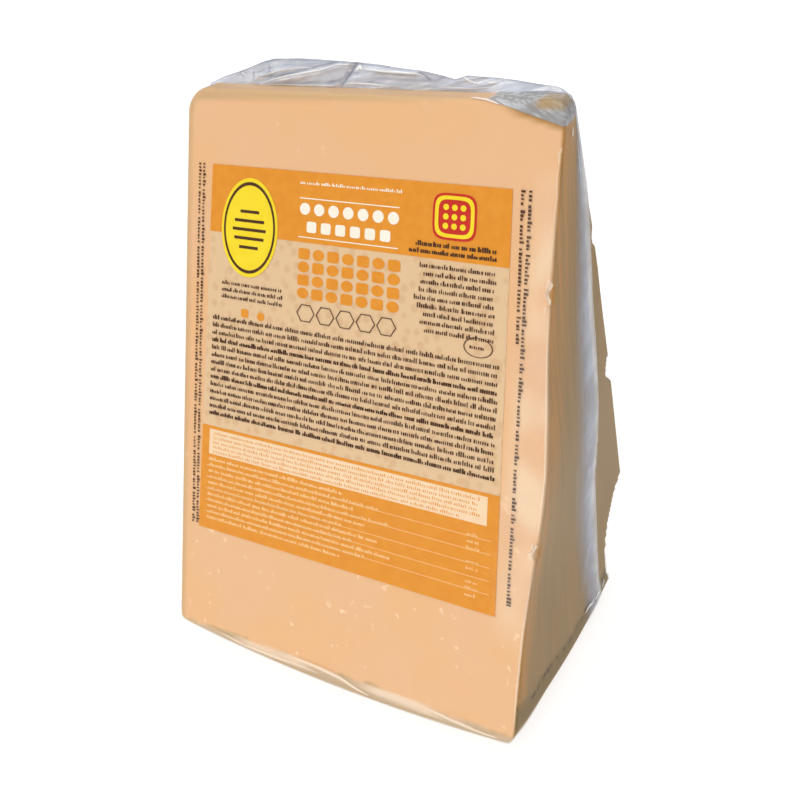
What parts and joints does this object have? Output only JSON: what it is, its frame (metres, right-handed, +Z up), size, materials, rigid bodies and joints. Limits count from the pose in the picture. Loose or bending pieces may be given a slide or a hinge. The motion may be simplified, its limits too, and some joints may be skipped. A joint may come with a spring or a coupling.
{
  "type": "grana padano wedge",
  "caption": "Vacuum-packed wedge of hard grating cheese in a clear film bag with a printed front, standing on its curved rind.",
  "frame": {"origin": "on the ground, under the middle of the pack's bounding box", "axes": "+Z up from the rind to the tip, -Y towards the printed front face, +X towards the flat halving cut"},
  "size_m": [0.1292, 0.1062, 0.1878],
  "materials": {
    "cheese": "satin",
    "film": "gloss",
    "print": "satin"
  },
  "bodies": {
    "root": {"sealed_wedge": "cheese"}
  },
  "joints": []
}
